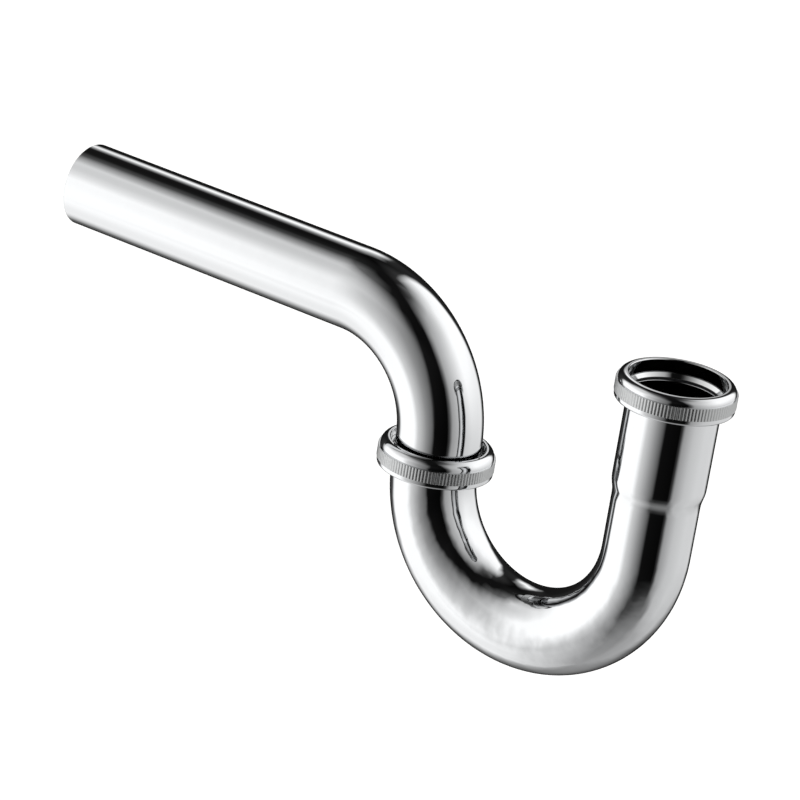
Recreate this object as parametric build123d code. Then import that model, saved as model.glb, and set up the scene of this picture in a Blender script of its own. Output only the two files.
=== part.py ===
from build123d import *
import math
import os

# Chromed brass P trap for a 32 mm washbasin waste, as a plumber lays it on the bench.
# Millimetres. The origin is the centre of the inlet socket's rim. +Z runs up the inlet leg,
# and the wall arm leaves along -X.

# ---------------------------------------------------------------- tubing
TUBE_RADIUS = 16.0            # 32 mm waste tube, outside
TUBE_WALL = 0.8
TRAP_BEND_RADIUS = 46.5       # centreline of the half-turn that holds the water seal
WALL_BEND_RADIUS = 45.5       # centreline of the quarter turn into the wall arm
INLET_STRAIGHT = 22.2         # from the top of the half-turn to the swage
OUTLET_STRAIGHT = 1.25        # from the top of the half-turn to the outlet's thread collar
WALL_ARM_LENGTH = 128.0       # straight length past the quarter turn
WALL_BEND_RISE = 0.1          # straight tube showing between the tight nut and the quarter turn

# ---------------------------------------------------------------- inlet socket, swaged in the tube
SOCKET_CLEARANCE = 0.25       # radial, round a tailpiece of the same tube
SOCKET_DEPTH = 33.5
SWAGE_LENGTH = 4.0

# ---------------------------------------------------------------- slip nuts
INLET_NUT_HEIGHT = 9.6
INLET_NUT_ROOF = 5.0          # thickness of the inward lip that pulls the joint together
OUTLET_NUT_HEIGHT = 10.3
OUTLET_NUT_ROOF = 2.8
NUT_WALL = 1.75               # over the knurl
NUT_HOLE_CLEARANCE = 1.7      # radial, round the tube
NUT_LIP_WIDTH = 1.0           # flat ring round the hole
FOOT_BAND_HEIGHT = 2.1        # plain band under the knurl
FOOT_BAND_STEP = 0.25         # how far it lies in from the knurl
FOOT_ROUND = 0.9
KNURL_HEIGHT = 4.7
DOME_STEP = 0.7               # how far the dome's foot lies in from the knurl
DOME_BULGE = 0.8              # how far the dome swells past the straight line between its edges
MOUTH_CHAMFER = 0.4

# ---------------------------------------------------------------- thread, pitch 1.5 mm
COLLAR_WALL = 2.85            # over the thread's crests, from the socket's outside
THREAD_LENGTH = 2.0
THREAD_CLEARANCE = 0.25       # radial, nut on collar
COLLAR_CHAMFER = 0.3

# ---------------------------------------------------------------- seals and rings
RUN_GAP = 0.05                # between flat faces that turn or lift on each other
SEAL_INSET = 0.7              # seal and flange, inside the thread's radius
RING_INSET = 0.3              # friction rings, inside the thread's radius
WASHER_THICKNESS = 0.9
WASHER_BEVEL = 0.3
INLET_RING_THICKNESS = 1.55
INLET_RING_MOUTH_LIP = 0.3    # mouth of its cone, inside the nut's hole
INLET_RING_THROAT = 0.45      # throat of its cone, round the tailpiece
GASKET_THICKNESS = 1.2
GASKET_BORE_STEP = 0.3        # gasket bore, outside the tube's bore
FLANGE_THICKNESS = 1.2
OUTLET_RING_THICKNESS = 0.8
OUTLET_RING_CLEARANCE = 0.6   # radial, so the ring can rise past the start of the bend

# ---------------------------------------------------------------- worked out from the above
TUBE_BORE = TUBE_RADIUS - TUBE_WALL
SOCKET_BORE = TUBE_RADIUS + SOCKET_CLEARANCE
SOCKET_RADIUS = SOCKET_BORE + TUBE_WALL
THREAD_RADIUS = SOCKET_RADIUS + COLLAR_WALL
NUT_BORE = THREAD_RADIUS + THREAD_CLEARANCE
NUT_RADIUS = NUT_BORE + NUT_WALL
NUT_HOLE_RADIUS = TUBE_RADIUS + NUT_HOLE_CLEARANCE
SEAL_RADIUS = THREAD_RADIUS - SEAL_INSET
RING_RADIUS = THREAD_RADIUS - RING_INSET

OUTLET_X = -2 * TRAP_BEND_RADIUS
SWAGE_TOP = -SOCKET_DEPTH
SWAGE_FOOT = SWAGE_TOP - SWAGE_LENGTH
BEND_TOP = SWAGE_FOOT - INLET_STRAIGHT

# inlet stack, upwards from the socket rim
INLET_RIM = 0.0
INLET_RING_FOOT = INLET_RIM + WASHER_THICKNESS + RUN_GAP
INLET_NUT_SHOULDER = INLET_RING_FOOT + INLET_RING_THICKNESS + RUN_GAP
INLET_NUT_FOOT = INLET_NUT_SHOULDER + INLET_NUT_ROOF - INLET_NUT_HEIGHT

# outlet stack, upwards from the outlet rim
OUTLET_RIM = BEND_TOP + OUTLET_STRAIGHT + THREAD_LENGTH
FLANGE_FOOT = OUTLET_RIM + GASKET_THICKNESS + RUN_GAP
OUTLET_RING_FOOT = FLANGE_FOOT + FLANGE_THICKNESS + RUN_GAP
OUTLET_NUT_SHOULDER = OUTLET_RING_FOOT + OUTLET_RING_THICKNESS + RUN_GAP
OUTLET_NUT_FOOT = OUTLET_NUT_SHOULDER + OUTLET_NUT_ROOF - OUTLET_NUT_HEIGHT
WALL_BEND_FOOT = OUTLET_NUT_FOOT + OUTLET_NUT_HEIGHT + WALL_BEND_RISE
ARM_HEIGHT = WALL_BEND_FOOT + WALL_BEND_RADIUS
ARM_END_X = OUTLET_X - WALL_BEND_RADIUS - WALL_ARM_LENGTH


def turned(profile, x):
    """Turn a profile of (radius, height) points about the upright axis at x."""
    face = Plane.XZ * make_face(Polyline(*profile, close=True))
    return Pos(x, 0, 0) * revolve(face, Axis.Z)


def washer(x, foot, thickness, bore, radius):
    """Flat ring that stands on height foot."""
    return turned([(bore, foot), (radius, foot), (radius, foot + thickness), (bore, foot + thickness)], x)


def swept_tube(path, start):
    """Waste tube along a path that starts straight up or down at start."""
    section = Plane(origin=start, z_dir=(0, 0, 1)) * (Circle(TUBE_RADIUS) - Circle(TUBE_BORE))
    return sweep(section, path=path)


def trap_bend():
    """J-shaped tube: short outlet leg, half-turn, inlet leg and the socket swaged at its top."""
    outlet_top = (OUTLET_X, 0, OUTLET_RIM)
    down = Line(outlet_top, (OUTLET_X, 0, BEND_TOP))
    bottom = (-TRAP_BEND_RADIUS, 0, BEND_TOP - TRAP_BEND_RADIUS)
    turn = ThreePointArc((OUTLET_X, 0, BEND_TOP), bottom, (0, 0, BEND_TOP))
    up = Line((0, 0, BEND_TOP), (0, 0, SWAGE_FOOT))
    tube = swept_tube(Wire([down, turn, up]), outlet_top)
    socket = turned(
        [
            (TUBE_BORE, SWAGE_FOOT),
            (TUBE_RADIUS, SWAGE_FOOT),
            (SOCKET_RADIUS, SWAGE_TOP),
            (SOCKET_RADIUS, INLET_RIM),
            (SOCKET_BORE, INLET_RIM),
            (SOCKET_BORE, SWAGE_TOP),
        ],
        0,
    )
    return tube + socket


def wall_tube():
    """Tube that rises out of the outlet joint, turns a quarter and runs to the wall."""
    foot = (OUTLET_X, 0, FLANGE_FOOT)
    spring = (OUTLET_X, 0, WALL_BEND_FOOT)
    arm_start = (OUTLET_X - WALL_BEND_RADIUS, 0, ARM_HEIGHT)
    halfway = WALL_BEND_RADIUS * math.sqrt(0.5)
    mid = (arm_start[0] + halfway, 0, WALL_BEND_FOOT + halfway)
    turn = ThreePointArc(spring, mid, arm_start)
    arm = Line(arm_start, (ARM_END_X, 0, ARM_HEIGHT))
    return swept_tube(Wire([Line(foot, spring), turn, arm]), foot)


def thread_collar(x, rim, bore):
    """Collar brazed round a tube end, flush with its rim, as large as the crests of its thread."""
    foot = rim - THREAD_LENGTH
    return turned(
        [
            (bore, foot),
            (THREAD_RADIUS, foot),
            (THREAD_RADIUS, rim - COLLAR_CHAMFER),
            (THREAD_RADIUS - COLLAR_CHAMFER, rim),
            (bore, rim),
        ],
        x,
    )


def inlet_washer():
    """Rubber washer on the socket rim, slack and in line with the socket, bevelled at its top edge."""
    top = INLET_RIM + WASHER_THICKNESS
    return turned(
        [
            (SOCKET_BORE, INLET_RIM),
            (SEAL_RADIUS, INLET_RIM),
            (SEAL_RADIUS, top - WASHER_BEVEL),
            (SEAL_RADIUS - WASHER_BEVEL, top),
            (SOCKET_BORE, top),
        ],
        0,
    )


def inlet_friction_ring():
    """Ring between washer and nut, with a cone that leads the tailpiece in."""
    top = INLET_RING_FOOT + INLET_RING_THICKNESS
    return turned(
        [
            (TUBE_RADIUS + INLET_RING_THROAT, INLET_RING_FOOT),
            (RING_RADIUS, INLET_RING_FOOT),
            (RING_RADIUS, top),
            (NUT_HOLE_RADIUS - INLET_RING_MOUTH_LIP, top),
        ],
        0,
    )


def slip_nut(x, foot, height, roof):
    """Domed slip nut with a knurled band: the band is a plain cylinder over its teeth."""
    top = foot + height
    shoulder = top - roof
    band_foot = foot + FOOT_BAND_HEIGHT
    band_top = band_foot + KNURL_HEIGHT
    plain_radius = NUT_RADIUS - FOOT_BAND_STEP
    round_reach = FOOT_ROUND * (1 - math.sqrt(0.5))
    dome_foot = (NUT_RADIUS - DOME_STEP, band_top)
    lip_edge = (NUT_HOLE_RADIUS + NUT_LIP_WIDTH, top)
    width, rise = dome_foot[0] - lip_edge[0], top - band_top
    bulge = DOME_BULGE / math.hypot(width, rise)
    crown = (
        (dome_foot[0] + lip_edge[0]) / 2 + rise * bulge,
        (band_top + top) / 2 + width * bulge,
    )
    dome = ThreePointArc(lip_edge, crown, dome_foot)
    band = Polyline(
        dome_foot,
        (NUT_RADIUS, band_top),
        (NUT_RADIUS, band_foot),
        (plain_radius, band_foot),
        (plain_radius, foot + FOOT_ROUND),
    )
    foot_edge = ThreePointArc(
        (plain_radius, foot + FOOT_ROUND),
        (plain_radius - round_reach, foot + round_reach),
        (plain_radius - FOOT_ROUND, foot),
    )
    inside = Polyline(
        (plain_radius - FOOT_ROUND, foot),
        (NUT_BORE + MOUTH_CHAMFER, foot),
        (NUT_BORE, foot + MOUTH_CHAMFER),
        (NUT_BORE, shoulder),
        (NUT_HOLE_RADIUS, shoulder),
        (NUT_HOLE_RADIUS, top),
        lip_edge,
    )
    face = Plane.XZ * make_face([dome, band, foot_edge, inside])
    return Pos(x, 0, 0) * revolve(face, Axis.Z)


PARTS = {
    "trap_bend": trap_bend(),
    "inlet_thread_collar": thread_collar(0, INLET_RIM, SOCKET_RADIUS),
    "outlet_thread_collar": thread_collar(OUTLET_X, OUTLET_RIM, TUBE_RADIUS),
    "inlet_washer": inlet_washer(),
    "outlet_gasket": washer(
        OUTLET_X, OUTLET_RIM, GASKET_THICKNESS, TUBE_BORE + GASKET_BORE_STEP, SEAL_RADIUS
    ),
    "wall_tube": wall_tube(),
    "wall_tube_flange": washer(OUTLET_X, FLANGE_FOOT, FLANGE_THICKNESS, TUBE_RADIUS, SEAL_RADIUS),
    "inlet_friction_ring": inlet_friction_ring(),
    "outlet_friction_ring": washer(
        OUTLET_X,
        OUTLET_RING_FOOT,
        OUTLET_RING_THICKNESS,
        TUBE_RADIUS + OUTLET_RING_CLEARANCE,
        RING_RADIUS,
    ),
    "inlet_nut": slip_nut(0, INLET_NUT_FOOT, INLET_NUT_HEIGHT, INLET_NUT_ROOF),
    "outlet_nut": slip_nut(OUTLET_X, OUTLET_NUT_FOOT, OUTLET_NUT_HEIGHT, OUTLET_NUT_ROOF),
}

os.makedirs("parts", exist_ok=True)
for name, solid in PARTS.items():
    export_step(solid, f"parts/{name}.step")
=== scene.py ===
"""Chromed brass P trap for a washbasin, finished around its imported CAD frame.

Sizes are in millimetres and become metres as a mesh is made. The frame's origin is the centre of
the inlet socket's rim, with +Z up the inlet leg and the wall arm leaving along -X.
"""
import logging
import math
from collections.abc import Callable
from dataclasses import dataclass
from enum import Enum
from functools import partial

import bpy
import numpy as np
from bpy.types import Material, Mesh, Node, NodeSocket, NodeTree, Object
from mathutils import Matrix, Vector


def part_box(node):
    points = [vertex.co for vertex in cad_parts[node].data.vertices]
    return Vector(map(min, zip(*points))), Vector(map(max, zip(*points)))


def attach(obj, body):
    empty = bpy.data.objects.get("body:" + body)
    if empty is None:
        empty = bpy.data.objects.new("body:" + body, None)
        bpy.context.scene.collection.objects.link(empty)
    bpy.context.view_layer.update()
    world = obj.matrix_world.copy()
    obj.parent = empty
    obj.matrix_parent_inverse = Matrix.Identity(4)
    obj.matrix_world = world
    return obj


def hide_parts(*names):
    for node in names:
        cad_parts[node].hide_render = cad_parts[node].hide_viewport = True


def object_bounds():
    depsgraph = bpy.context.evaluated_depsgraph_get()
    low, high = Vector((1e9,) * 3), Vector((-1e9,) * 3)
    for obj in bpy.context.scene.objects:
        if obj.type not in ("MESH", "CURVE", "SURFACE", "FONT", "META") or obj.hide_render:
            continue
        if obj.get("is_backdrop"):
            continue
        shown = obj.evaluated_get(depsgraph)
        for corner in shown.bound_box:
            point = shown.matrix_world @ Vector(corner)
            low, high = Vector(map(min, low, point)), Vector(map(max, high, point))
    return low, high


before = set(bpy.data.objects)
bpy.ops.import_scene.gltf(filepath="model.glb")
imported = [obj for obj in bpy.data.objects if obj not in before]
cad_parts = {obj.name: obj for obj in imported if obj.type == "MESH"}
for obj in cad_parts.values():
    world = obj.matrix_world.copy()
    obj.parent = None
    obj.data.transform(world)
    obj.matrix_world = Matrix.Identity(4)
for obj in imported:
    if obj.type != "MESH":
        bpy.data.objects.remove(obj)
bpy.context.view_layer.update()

log = logging.getLogger("p_trap")

AddNode = Callable[..., Node]

MM = 0.001
SIDE_AXIS = np.array((0.0, 1.0, 0.0))
FILLET_CHORDS = 5
SUPPORT_SHARE = 0.1           # a support row's distance past a fillet, as a share of its reach
REACH_SHARE = 0.44            # the most of a run that a fillet takes at one end
NOISE_LOW, NOISE_HIGH = 0.3, 0.7        # nearly all of a noise texture's values lie between these


class Body(Enum):
    """The rigid bodies that the pieces ride on."""

    TRAP = "trap"
    WALL_ARM = "wall_arm"
    INLET_RING = "inlet_ring"
    INLET_NUT = "inlet_nut"
    OUTLET_RING = "outlet_ring"
    OUTLET_NUT = "outlet_nut"


class Slot(Enum):
    """The record's material slots."""

    TUBE = "chromed_tube"
    NUT = "chromed_nut"
    COLLAR = "plated_collar"
    RING = "polished_ring"
    SEAL = "rubber_seal"


class ThreadSide(Enum):
    """Which way a thread's grooves are cut from its crests."""

    EXTERNAL = -1.0
    INTERNAL = 1.0


# ---------------------------------------------------------------- nodes


def linear(colour: str) -> tuple[float, float, float, float]:
    """Turn an sRGB hex colour to linear RGBA.

    Args:
        colour: Six hex digits after a hash.

    Returns:
        The linear colour with full alpha.
    """
    channels = [int(colour[i : i + 2], 16) / 255 for i in (1, 3, 5)]
    red, green, blue = (c / 12.92 if c <= 0.04045 else ((c + 0.055) / 1.055) ** 2.4 for c in channels)
    return red, green, blue, 1.0


def feed(node: Node, inputs: dict) -> None:
    """Set a node's inputs.

    Args:
        node: The node.
        inputs: Socket name or number to a value, an output socket, or a node whose first output
            in use is meant.
    """
    for key, value in inputs.items():
        if isinstance(value, Node):
            value = next(socket for socket in value.outputs if socket.enabled)
        if isinstance(value, NodeSocket):
            node.id_data.links.new(value, node.inputs[key])
        else:
            node.inputs[key].default_value = value


def add_node(tree: NodeTree, kind: str, inputs: dict | None = None, **settings: object) -> Node:
    """Add a node with its settings, values and links.

    Args:
        tree: The node tree that gets the node.
        kind: The node's type name.
        inputs: The node's inputs, as feed takes them.
        **settings: The node's own properties.

    Returns:
        The new node.
    """
    node = tree.nodes.new(kind)
    for name, value in settings.items():
        setattr(node, name, value)
    feed(node, inputs or {})
    return node


def new_material(name: str) -> tuple[Material, AddNode, Node]:
    """Start a material.

    Args:
        name: The material's name.

    Returns:
        The material, what adds a node to it, and its shader.
    """
    made = bpy.data.materials.new(name)
    made.use_nodes = True
    return made, partial(add_node, made.node_tree), made.node_tree.nodes["Principled BSDF"]


# ---------------------------------------------------------------- outlines and sweeps


def arc_through(
    start: tuple[float, float], middle: tuple[float, float], end: tuple[float, float], chords: int
) -> list[tuple[float, float]]:
    """Find points on the circle through three points.

    Args:
        start: The arc's first point.
        middle: A point that the arc passes.
        end: The arc's last point.
        chords: How many chords the arc is cut into.

    Returns:
        The points from start to end.
    """
    (ax, ay), (bx, by), (cx, cy) = start, middle, end
    double_area = 2 * (ax * (by - cy) + bx * (cy - ay) + cx * (ay - by))
    a2, b2, c2 = ax * ax + ay * ay, bx * bx + by * by, cx * cx + cy * cy
    centre_x = (a2 * (by - cy) + b2 * (cy - ay) + c2 * (ay - by)) / double_area
    centre_y = (a2 * (cx - bx) + b2 * (ax - cx) + c2 * (bx - ax)) / double_area
    radius = math.hypot(ax - centre_x, ay - centre_y)
    first = math.atan2(ay - centre_y, ax - centre_x)
    sweep = math.remainder(math.atan2(cy - centre_y, cx - centre_x) - first, math.tau)
    angles = [first + sweep * i / chords for i in range(chords + 1)]
    return [(centre_x + radius * math.cos(a), centre_y + radius * math.sin(a)) for a in angles]


@dataclass(frozen=True)
class Corner:
    """A corner of a tube wall's or a turned piece's outline, in millimetres.

    Attributes:
        radius: Distance from the centreline.
        along: Distance along the centreline, or the height of a turned piece's corner.
        fillet: Radius that the corner is rounded to, 0 for a point on a smooth curve.
        step: Longest gap between rows on the run to the next corner.
    """

    radius: float
    along: float
    fillet: float = 0.0
    step: float = 8.0


@dataclass(frozen=True)
class Leg:
    """One stretch of a centreline, in millimetres.

    Attributes:
        length: Its length.
        radius: Its bend radius, positive where it turns left.
    """

    length: float
    radius: float = math.inf


@dataclass(frozen=True)
class Path:
    """A centreline in the upright plane y = 0, of straight runs and round turns.

    Attributes:
        x: Where it starts, in millimetres.
        z: Where it starts, in millimetres.
        heading: Its first direction, in degrees above +X.
        legs: Its stretches in order. The last one goes on past its end.
    """

    x: float
    z: float
    heading: float = 90.0
    legs: tuple[Leg, ...] = (Leg(0.0),)

    def station(self, along: float) -> tuple[np.ndarray, np.ndarray]:
        """Find a point on the centreline.

        Args:
            along: Distance from the start, in millimetres.

        Returns:
            The point, and the direction square to the centreline in its own plane.
        """
        x, z, heading = self.x, self.z, math.radians(self.heading)
        for leg in self.legs:
            last = leg is self.legs[-1]
            run = along if last else min(along, leg.length)
            if math.isinf(leg.radius):
                x += run * math.cos(heading)
                z += run * math.sin(heading)
            else:
                turned = heading + run / leg.radius
                x += leg.radius * (math.sin(turned) - math.sin(heading))
                z += leg.radius * (math.cos(heading) - math.cos(turned))
                heading = turned
            along -= run
            if along <= 0:
                break
        return np.array((x, 0.0, z)), np.array((-math.sin(heading), 0.0, math.cos(heading)))


def fillet_rows(
    before: np.ndarray, here: np.ndarray, after: np.ndarray, fillet: float
) -> list[np.ndarray]:
    """Round one corner, with a row on either side that keeps the faces next to it flat.

    Args:
        before: The corner before it.
        here: The corner.
        after: The corner after it.
        fillet: Radius to round it to, 0 to keep it.

    Returns:
        The points that stand in for the corner.
    """
    if fillet <= 0:
        return [here]
    back, ahead = before - here, after - here
    back_length, ahead_length = np.linalg.norm(back), np.linalg.norm(ahead)
    back, ahead = back / back_length, ahead / ahead_length
    half = math.acos(float(np.clip(back @ ahead, -1, 1))) / 2
    reach = min(fillet / math.tan(half), REACH_SHARE * back_length, REACH_SHARE * ahead_length)
    middle = here + (back + ahead) / np.linalg.norm(back + ahead) * reach / math.cos(half)
    first, last = here + back * reach - middle, here + ahead * reach - middle
    radius = np.linalg.norm(first)
    blends = [first + (last - first) * k / FILLET_CHORDS for k in range(FILLET_CHORDS + 1)]
    support = reach * (1 + SUPPORT_SHARE)
    return [
        here + back * support,
        *(middle + blend / np.linalg.norm(blend) * radius for blend in blends),
        here + ahead * support,
    ]


def rounded_outline(corners: list[Corner]) -> np.ndarray:
    """Round a closed outline's corners and fill its runs with rows.

    Args:
        corners: The outline's corners in order.

    Returns:
        The (along, radius) points of the outline, in millimetres.
    """
    places = [np.array((c.along, c.radius)) for c in corners]
    after = places[1:] + places[:1]
    turns = [fillet_rows(places[i - 1], places[i], after[i], c.fillet) for i, c in enumerate(corners)]
    outline: list[np.ndarray] = []
    for corner, turn, next_turn in zip(corners, turns, turns[1:] + turns[:1]):
        start, gap = turn[-1], next_turn[0] - turn[-1]
        rows = int(np.linalg.norm(gap) // corner.step)
        outline.extend(turn)
        outline.extend(start + gap * k / (rows + 1) for k in range(1, rows + 1))
    return np.array(outline)


def swept_mesh(name: str, corners: list[Corner], path: Path, columns: int) -> Mesh:
    """Carry a closed outline round and along a centreline, which makes a closed skin.

    The mesh gets a UV map in millimetres, around and along, and an attribute with each point's
    distance from the centreline in millimetres.

    Args:
        name: The mesh's name.
        corners: The wall's outline.
        path: The centreline.
        columns: Faces around the centreline.

    Returns:
        The mesh in metres, smooth, with its faces outwards.
    """
    outline = rounded_outline(corners)
    rows = len(outline)
    angles = np.arange(columns) * math.tau / columns
    grid = np.empty((rows, columns, 3))
    for i, (along, radius) in enumerate(outline):
        centre, normal = path.station(along)
        ring = np.outer(np.cos(angles), normal) + np.outer(np.sin(angles), SIDE_AXIS)
        grid[i] = centre + radius * ring
    points = grid.reshape(-1, 3) * MM
    row, column = (m.ravel() for m in np.meshgrid(np.arange(rows), np.arange(columns), indexing="ij"))
    next_row, next_column = (row + 1) % rows, (column + 1) % columns
    corner_rows = (row, row, next_row, next_row)
    corner_columns = (column, next_column, next_column, column)
    faces = np.stack([r * columns + c for r, c in zip(corner_rows, corner_columns)], axis=1)
    round_mm = float(outline[:, 1].max()) * math.tau
    lengths = np.linalg.norm(np.roll(outline, -1, axis=0) - outline, axis=1)
    along_mm = np.concatenate(((0.0,), np.cumsum(lengths)))
    left, right = column / columns * round_mm, (column + 1) / columns * round_mm
    low, high = along_mm[row], along_mm[row + 1]
    uv = np.stack((left, low, right, low, right, high, left, high), axis=1).reshape(-1, 4, 2)
    a, b, c, d = (points[faces[:, k]] for k in range(4))
    volume = np.einsum("ij,ij->", a, np.cross(b, c)) + np.einsum("ij,ij->", a, np.cross(c, d))
    if volume < 0:
        faces, uv = faces[:, ::-1], uv[:, ::-1]
    mesh = bpy.data.meshes.new(name)
    mesh.from_pydata(points.tolist(), [], faces.tolist(), shade_flat=False)
    mesh.uv_layers.new(name="surface_mm").data.foreach_set("uv", uv.ravel())
    from_axis = mesh.attributes.new("from_axis_mm", "FLOAT", "POINT")
    from_axis.data.foreach_set("value", np.repeat(outline[:, 1], columns))
    return mesh


# ---------------------------------------------------------------- pieces


def box_mm(node: str) -> tuple[Vector, Vector]:
    """Give a CAD node's lowest and highest corner in millimetres."""
    low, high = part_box(node)
    return low / MM, high / MM


def new_piece(name: str, mesh: Mesh) -> Object:
    """Put a mesh in the scene as an object at the origin.

    Args:
        name: The piece's name, before its ending.
        mesh: The piece's mesh.

    Returns:
        The object.
    """
    piece = bpy.data.objects.new(name + "_visual", mesh)
    bpy.context.scene.collection.objects.link(piece)
    return piece


def apply_tree(piece: Object, tree: NodeTree, values: dict[str, object]) -> None:
    """Run a Geometry Nodes tree on a piece and keep the result as a plain mesh.

    Args:
        piece: The object whose mesh goes in and is replaced.
        tree: The tree to run.
        values: The tree's inputs by name.
    """
    modifier = piece.modifiers.new(tree.name, "NODES")
    modifier.node_group = tree
    for item in tree.interface.items_tree:
        if item.item_type == "SOCKET" and item.in_out == "INPUT" and item.name in values:
            modifier[item.identifier] = values[item.name]
    graph = bpy.context.evaluated_depsgraph_get()
    made = bpy.data.meshes.new_from_object(
        piece.evaluated_get(graph), preserve_all_data_layers=True, depsgraph=graph
    )
    piece.modifiers.remove(modifier)
    piece.data = made


def dress(piece: Object, finish: Material, body: Body, node: str) -> None:
    """Give a finished piece its material and body, and hide the CAD node that it stands for.

    Args:
        piece: The finished object.
        finish: Its material.
        body: The body that it moves with.
        node: The CAD node that it stands for.
    """
    piece.data.materials.clear()
    piece.data.materials.append(finish)
    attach(piece, body.value)
    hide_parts(node)
    log.info("%s: %d faces, rides on %s", piece.name, len(piece.data.polygons), body.value)


# ---------------------------------------------------------------- finishes


@dataclass(frozen=True)
class ChromePlate:
    """Bright chromium plate on drawn brass tube, bent, buffed and plated.

    Attributes:
        name: The material's name.
        plate: Colour of the chromium.
        brass: Colour of the bare brass in the bore.
        roughness: Roughness of the buffed plate.
        roughness_spread: Least and most that the buff leaves, as shares of the roughness.
        polish_span: Noise between which it goes from least to most.
        bore_roughness: Roughness of the drawn bore, which is never buffed.
        bore_span: Radii between which the outside gives way to the bore, in millimetres.
        buffing_pitch: Spacing of the buffing lines, in millimetres. Real ones are finer than
            0.05 mm; this is the finest that shows.
        buffing_length: Length of those lines, in millimetres.
        haze_size: Width of the patches that the buff leaves duller, in millimetres.
        ripple_size: Width of the gentle waves that bending leaves, in millimetres.
        ripple_height: Height of those waves in the half turn, in millimetres.
        ripple_calm: Share of that height on the straight legs and the wall tube.
        ripple_span: Heights between which the waves grow, down into the half turn, in millimetres.
    """

    name: str = "chromium_plate_buffed"
    plate: str = "#C7C8C9"
    brass: str = "#9C8A5E"
    roughness: float = 0.045
    roughness_spread: tuple[float, float] = (0.6, 1.5)
    polish_span: tuple[float, float] = (0.1, 0.5)
    bore_roughness: float = 0.22
    bore_span: tuple[float, float] = (15.6, 15.4)
    buffing_pitch: float = 0.35
    buffing_length: float = 50.0
    haze_size: float = 22.0
    ripple_size: float = 8.0
    ripple_height: float = 0.2
    ripple_calm: float = 0.12
    ripple_span: tuple[float, float] = (-56.0, -72.0)

    def material(self) -> Material:
        """Make the plate: mirror bright, with soft ripples and a haze of fine buffing lines.

        Returns:
            The material.
        """
        made, add, shader = new_material(self.name)
        place = add("ShaderNodeTexCoord").outputs
        inside = add(
            "ShaderNodeMapRange",
            {
                "Value": add("ShaderNodeAttribute", attribute_name="from_axis_mm").outputs["Fac"],
                "From Min": self.bore_span[0],
                "From Max": self.bore_span[1],
            },
        )
        waves_per_mm = (1 / self.buffing_length, 1 / self.buffing_pitch, 1)
        along = add("ShaderNodeMapping", {"Vector": place["UV"], "Scale": waves_per_mm})
        buffing = add("ShaderNodeTexNoise", {"Vector": along, "Scale": 1.0, "Detail": 3.0})
        haze_scale = 1 / (self.haze_size * MM)
        haze = add("ShaderNodeTexNoise", {"Vector": place["Object"], "Scale": haze_scale, "Detail": 4.0})
        outside_roughness = add(
            "ShaderNodeMapRange",
            {
                "Value": add("ShaderNodeMath", {0: buffing, 1: haze}, operation="MULTIPLY"),
                "From Min": self.polish_span[0],
                "From Max": self.polish_span[1],
                "To Min": self.roughness * self.roughness_spread[0],
                "To Max": self.roughness * self.roughness_spread[1],
            },
        )
        mixed = {"Factor": inside, "A": outside_roughness, "B": self.bore_roughness}
        roughness = add("ShaderNodeMix", mixed)
        colours = {"Factor": inside, "A": linear(self.plate), "B": linear(self.brass)}
        colour = add("ShaderNodeMix", colours, data_type="RGBA")
        waves = {"Vector": place["Object"], "Scale": 1 / (self.ripple_size * MM), "Detail": 1.5}
        ripple = add("ShaderNodeTexNoise", waves)
        growth = add(
            "ShaderNodeMapRange",
            {
                "Value": add("ShaderNodeSeparateXYZ", {0: place["Object"]}).outputs["Z"],
                "From Min": self.ripple_span[0] * MM,
                "From Max": self.ripple_span[1] * MM,
                "To Min": self.ripple_calm,
                "To Max": 1.0,
            },
        )
        ripple_height = self.ripple_height * MM
        bump = add("ShaderNodeBump", {"Height": ripple, "Distance": ripple_height, "Strength": growth})
        feed(shader, {"Base Color": colour, "Roughness": roughness, "Normal": bump, "Metallic": 1.0})
        return made


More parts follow.
